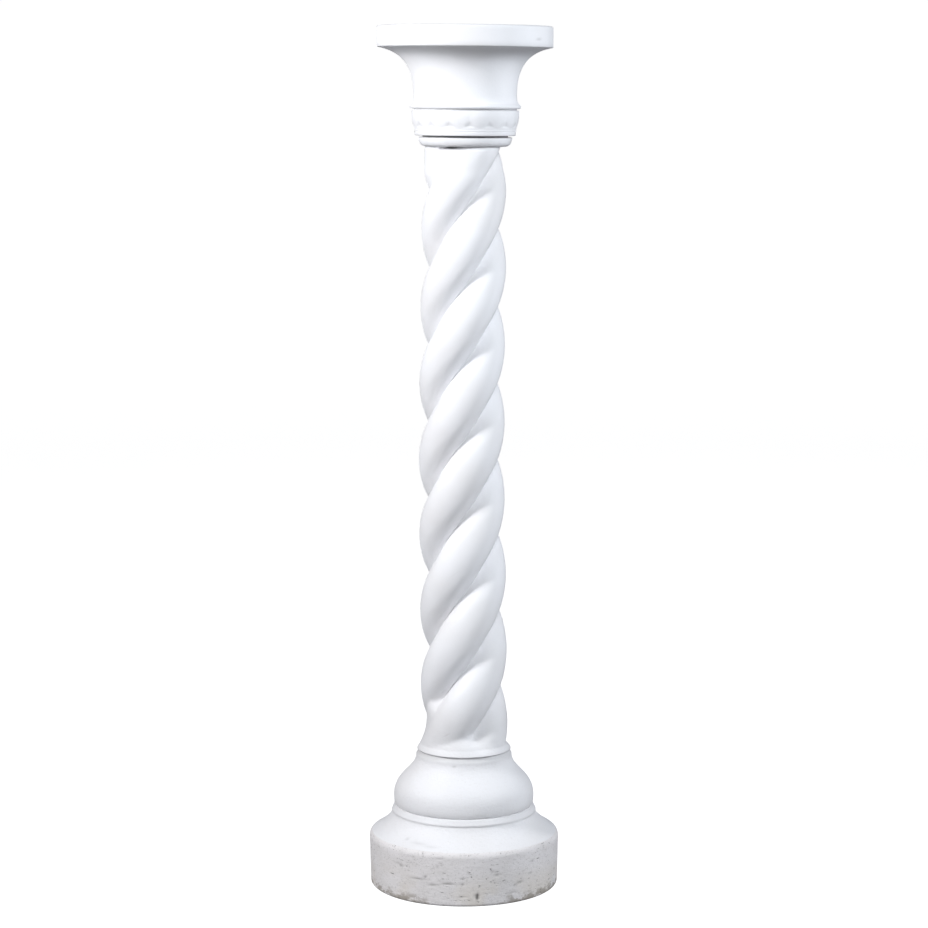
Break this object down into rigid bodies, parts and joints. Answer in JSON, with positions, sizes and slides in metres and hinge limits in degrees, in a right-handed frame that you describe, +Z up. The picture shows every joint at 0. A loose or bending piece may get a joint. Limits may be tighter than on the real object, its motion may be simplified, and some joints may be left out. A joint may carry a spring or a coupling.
{
  "type": "pedestal column",
  "caption": "White plaster pedestal column with a twisted shaft, a round stepped base and a round capital with a flat disc on top for a bust, vase or plant.",
  "frame": {"origin": "centre of the underside, on the floor", "axes": "+Z up along the column's axis, -Y towards the side that the picture shows"},
  "size_m": [0.2676, 0.2676, 1.2],
  "materials": {
    "painted_plaster": "matt white paint on cast plaster"
  },
  "bodies": {
    "root": {"pedestal_column": "painted_plaster"}
  },
  "joints": []
}
